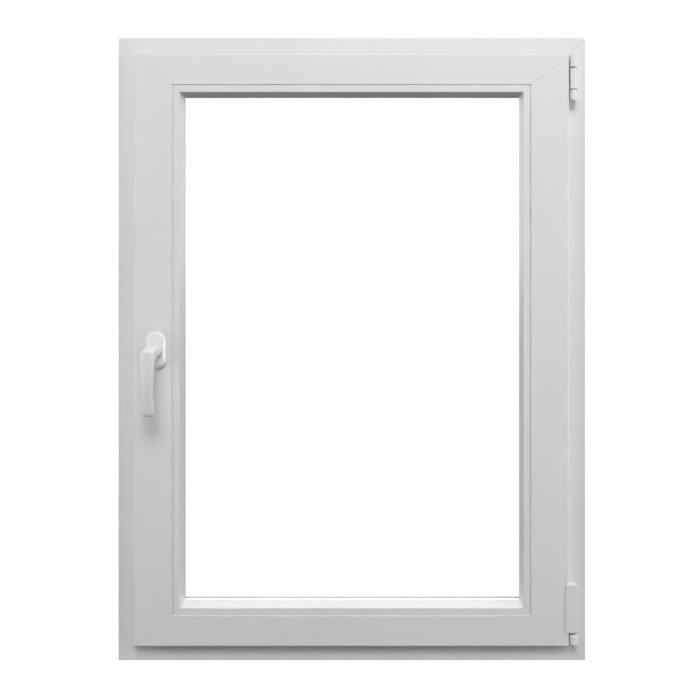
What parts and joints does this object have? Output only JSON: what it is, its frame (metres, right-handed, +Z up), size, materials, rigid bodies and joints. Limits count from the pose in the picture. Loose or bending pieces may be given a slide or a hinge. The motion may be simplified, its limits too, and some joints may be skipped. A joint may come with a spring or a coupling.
{
  "type": "casement window",
  "caption": "White PVC tilt-and-turn casement window that opens inwards, with a mitred frame, a double-glazed sash, hinges on one side and a lever handle on the other.",
  "frame": {"origin": "centre of the frame's underside, halfway through the frame's depth", "axes": "+X to the right as seen from the room (hinge side), +Y outdoors, +Z up"},
  "size_m": [0.9, 0.1543, 1.2],
  "materials": {
    "white_pvc": "satin",
    "white_painted_metal": "satin powder coat",
    "grey_gasket": "matte",
    "galvanised_steel": "galvanised",
    "spacer_aluminium": "mill finish",
    "clear_glass": "clear float",
    "packer_plastic": "moulded"
  },
  "bodies": {
    "frame": {"frame_head": "white_pvc", "frame_sill": "white_pvc", "frame_jamb_lock_side": "white_pvc", "frame_jamb_hinge_side": "white_pvc", "frame_head_steel": "galvanised_steel", "frame_sill_steel": "galvanised_steel", "frame_jamb_lock_side_steel": "galvanised_steel", "frame_jamb_hinge_side_steel": "galvanised_steel", "frame_gasket": "grey_gasket", "keep_lower": "galvanised_steel", "keep_upper": "galvanised_steel", "keep_head": "galvanised_steel", "lifting_block": "packer_plastic", "drain_cap_1": "white_pvc", "drain_cap_2": "white_pvc", "stay_bearing": "white_painted_metal", "stay_bearing_pin": "galvanised_steel", "corner_bearing": "white_painted_metal"},
    "swivel": {"corner_pivot": "galvanised_steel"},
    "sash": {"sash_top_rail": "white_pvc", "sash_bottom_rail": "white_pvc", "sash_stile_lock_side": "white_pvc", "sash_stile_hinge_side": "white_pvc", "sash_top_rail_steel": "galvanised_steel", "sash_bottom_rail_steel": "galvanised_steel", "sash_stile_lock_side_steel": "galvanised_steel", "sash_stile_hinge_side_steel": "galvanised_steel", "sash_gasket": "grey_gasket", "bead_top": "white_pvc", "bead_bottom": "white_pvc", "bead_lock_side": "white_pvc", "bead_hinge_side": "white_pvc", "glazing_gasket_outdoor": "grey_gasket", "glazing_gasket_room": "grey_gasket", "glass_pane_room": "clear_glass", "glass_pane_outdoor": "clear_glass", "glass_spacer": "spacer_aluminium", "packer_bottom_lock_side": "packer_plastic", "packer_bottom_hinge_side": "packer_plastic", "packer_top": "packer_plastic", "packer_hinge_side": "packer_plastic", "corner_band": "galvanised_steel", "corner_band_cover": "white_pvc", "lock_faceplate": "galvanised_steel", "head_faceplate": "galvanised_steel", "corner_drive": "galvanised_steel", "gear_box": "galvanised_steel", "rosette_cover": "white_painted_metal", "rosette_base": "galvanised_steel", "handle_screw_lower": "galvanised_steel", "handle_screw_upper": "galvanised_steel"},
    "stay": {"stay_band": "white_painted_metal", "stay_arm": "galvanised_steel", "stay_slider": "galvanised_steel"},
    "handle": {"handle_lever": "white_painted_metal", "handle_spindle": "galvanised_steel", "drive_wheel": "galvanised_steel"},
    "stile_rod": {"drive_rod_stile": "galvanised_steel"},
    "head_rod": {"drive_rod_head": "galvanised_steel"}
  },
  "joints": [
    {"name": "turn", "type": "hinge", "parent": "frame", "child": "swivel", "pos_m": [0.4228, -0.049, 0.05], "axis": [0, 0, 1], "range_deg": [0, 90]},
    {"name": "tilt", "type": "hinge", "parent": "swivel", "child": "sash", "pos_m": [0.4228, -0.049, 0.0625], "axis": [1, 0, 0], "range_deg": [0, 7]},
    {"name": "stay_swing", "type": "hinge", "parent": "swivel", "child": "stay", "pos_m": [0.4228, -0.049, 1.12], "axis": [0, 0, 1], "range_deg": [0, 19.2]},
    {"name": "handle_turn", "type": "hinge", "parent": "sash", "child": "handle", "pos_m": [-0.3695, -0.055, 0.6], "axis": [0, -1, 0], "range_deg": [0, 180]},
    {"name": "stile_rod_slide", "type": "slide", "parent": "sash", "child": "stile_rod", "axis": [0, 0, 1], "range_m": [-0.0361, 0]},
    {"name": "head_rod_slide", "type": "slide", "parent": "sash", "child": "head_rod", "axis": [1, 0, 0], "range_m": [-0.0361, 0]}
  ],
  "couplings": [
    {"joint": "stay_swing", "follows": "tilt", "ratio": 2.74},
    {"joint": "stile_rod_slide", "follows": "handle_turn", "m_per_rad": -0.011459},
    {"joint": "head_rod_slide", "follows": "handle_turn", "m_per_rad": -0.011459}
  ]
}
